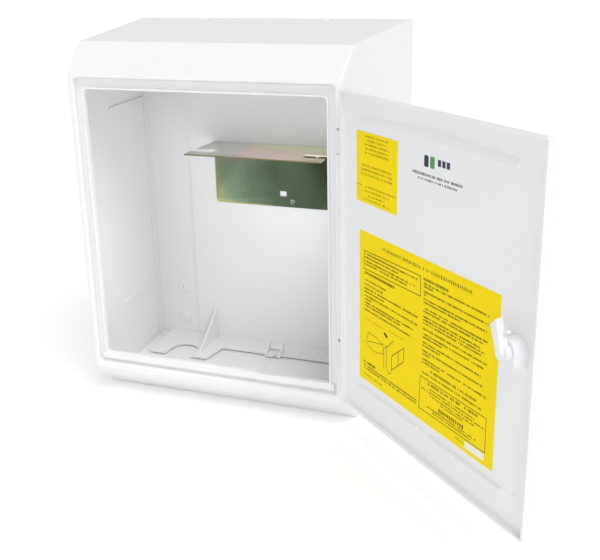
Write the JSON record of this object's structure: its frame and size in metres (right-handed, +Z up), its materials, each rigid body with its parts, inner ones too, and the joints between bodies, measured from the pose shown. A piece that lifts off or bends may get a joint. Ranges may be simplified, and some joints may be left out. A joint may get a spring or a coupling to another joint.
{
  "type": "gas meter box",
  "caption": "Outside wall box for a gas meter with a sloped hood, a hinged door with a turning latch, printed sheets inside the door and a bent steel meter bracket.",
  "frame": {"origin": "on the plane of the flat base, midway between the sides and midway between the front rim and the wall face", "axes": "+X to the right seen from the front, +Y into the wall, +Z up"},
  "size_m": [0.7165, 0.527, 0.551],
  "materials": {
    "white_moulding": "satin moulded",
    "white_fitting": "smooth moulded",
    "plain_steel": "bright zinc",
    "passivated_steel": "yellow passivated zinc, iridescent",
    "yellow_sheet": "printed"
  },
  "bodies": {
    "carcass": {"front_shell": "white_moulding", "back_tray": "white_moulding", "upper_hinge_clip": "white_fitting", "lower_hinge_clip": "white_fitting", "upper_hinge_pin": "plain_steel", "lower_hinge_pin": "plain_steel", "hinge_clip_screws": "plain_steel", "meter_bracket": "passivated_steel", "bracket_screws": "plain_steel"},
    "door": {"door": "white_moulding", "small_label": "yellow_sheet", "large_label": "yellow_sheet", "latch_housing": "white_fitting", "latch_escutcheon": "white_fitting"},
    "latch": {"latch_spindle": "white_fitting", "latch_cam": "white_fitting"}
  },
  "joints": [
    {"name": "door_hinge", "type": "hinge", "parent": "carcass", "child": "door", "pos_m": [0.1993, -0.1313, 0.27], "axis": [0, 0, 1], "range_deg": [-137.85, 37]},
    {"name": "latch_turn", "type": "hinge", "parent": "door", "child": "latch", "pos_m": [0.45676, -0.38228, 0.265], "axis": [0.6711, 0.7414, 0], "range_deg": [0, 108]}
  ]
}
